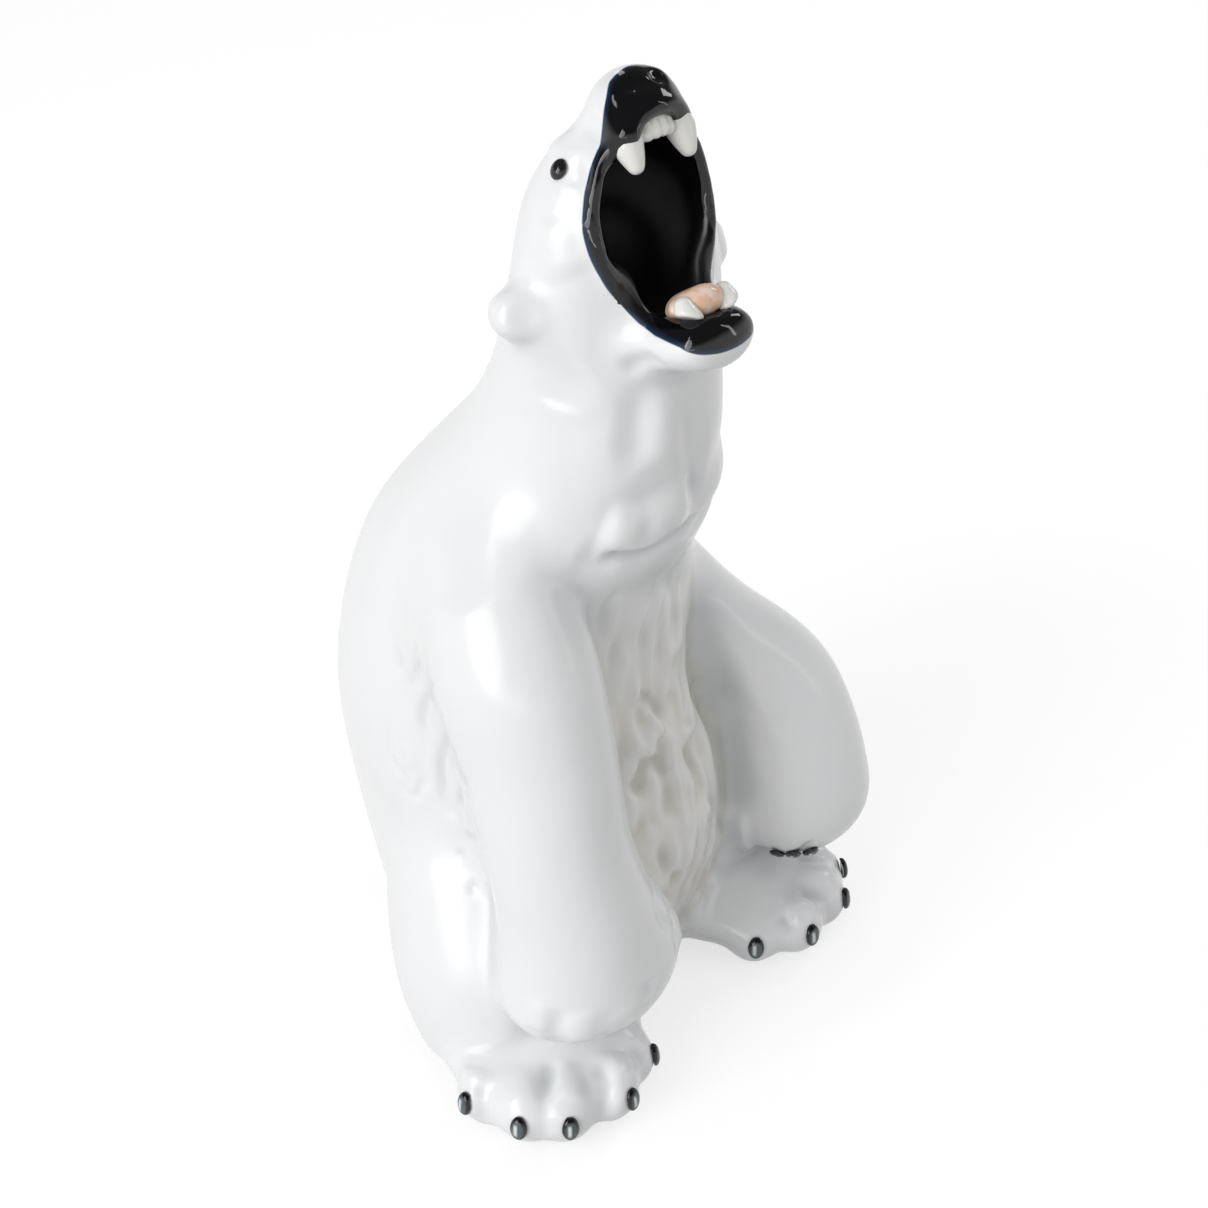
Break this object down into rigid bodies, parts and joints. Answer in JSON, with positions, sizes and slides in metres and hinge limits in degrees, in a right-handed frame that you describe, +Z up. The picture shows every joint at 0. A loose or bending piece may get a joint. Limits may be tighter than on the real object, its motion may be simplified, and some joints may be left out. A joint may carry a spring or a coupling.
{
  "type": "porcelain polar bear figurine",
  "caption": "Seated white porcelain polar bear with its head thrown back and its mouth wide open, fore paws resting on its hind feet, standing on a flat seat.",
  "frame": {"origin": "on the floor plane, on the flat seat under the middle of the figure", "axes": "+Z up, the bear's body faces -Y, its right side is at -X"},
  "size_m": [0.1893, 0.1526, 0.33],
  "materials": {
    "white_porcelain": "clear gloss glaze over white porcelain",
    "black_glaze": "black underglaze paint under a clear gloss glaze",
    "tooth_glaze": "clear gloss glaze over white porcelain",
    "tongue_glaze": "pale orange underglaze paint under a clear gloss glaze"
  },
  "bodies": {
    "root": {"torso_casting": "white_porcelain", "head_casting": "white_porcelain", "lower_jaw": "white_porcelain", "tail": "white_porcelain", "upper_incisors": "tooth_glaze", "tongue": "tongue_glaze", "right_ear": "white_porcelain", "right_eye": "black_glaze", "upper_right_canine": "tooth_glaze", "lower_right_canine": "tooth_glaze", "right_foreleg": "white_porcelain", "right_hind_leg": "white_porcelain", "left_ear": "white_porcelain", "left_eye": "black_glaze", "upper_left_canine": "tooth_glaze", "lower_left_canine": "tooth_glaze", "left_foreleg": "white_porcelain", "left_hind_leg": "white_porcelain", "right_hind_claw_1": "black_glaze", "right_hind_claw_2": "black_glaze", "right_hind_claw_3": "black_glaze", "right_hind_claw_4": "black_glaze", "right_hind_claw_5": "black_glaze", "left_hind_claw_1": "black_glaze", "left_hind_claw_2": "black_glaze", "left_hind_claw_3": "black_glaze", "left_hind_claw_4": "black_glaze", "left_hind_claw_5": "black_glaze", "right_fore_claw_1": "black_glaze", "right_fore_claw_2": "black_glaze", "right_fore_claw_3": "black_glaze", "left_fore_claw_1": "black_glaze", "left_fore_claw_2": "black_glaze", "left_fore_claw_3": "black_glaze"}
  },
  "joints": []
}
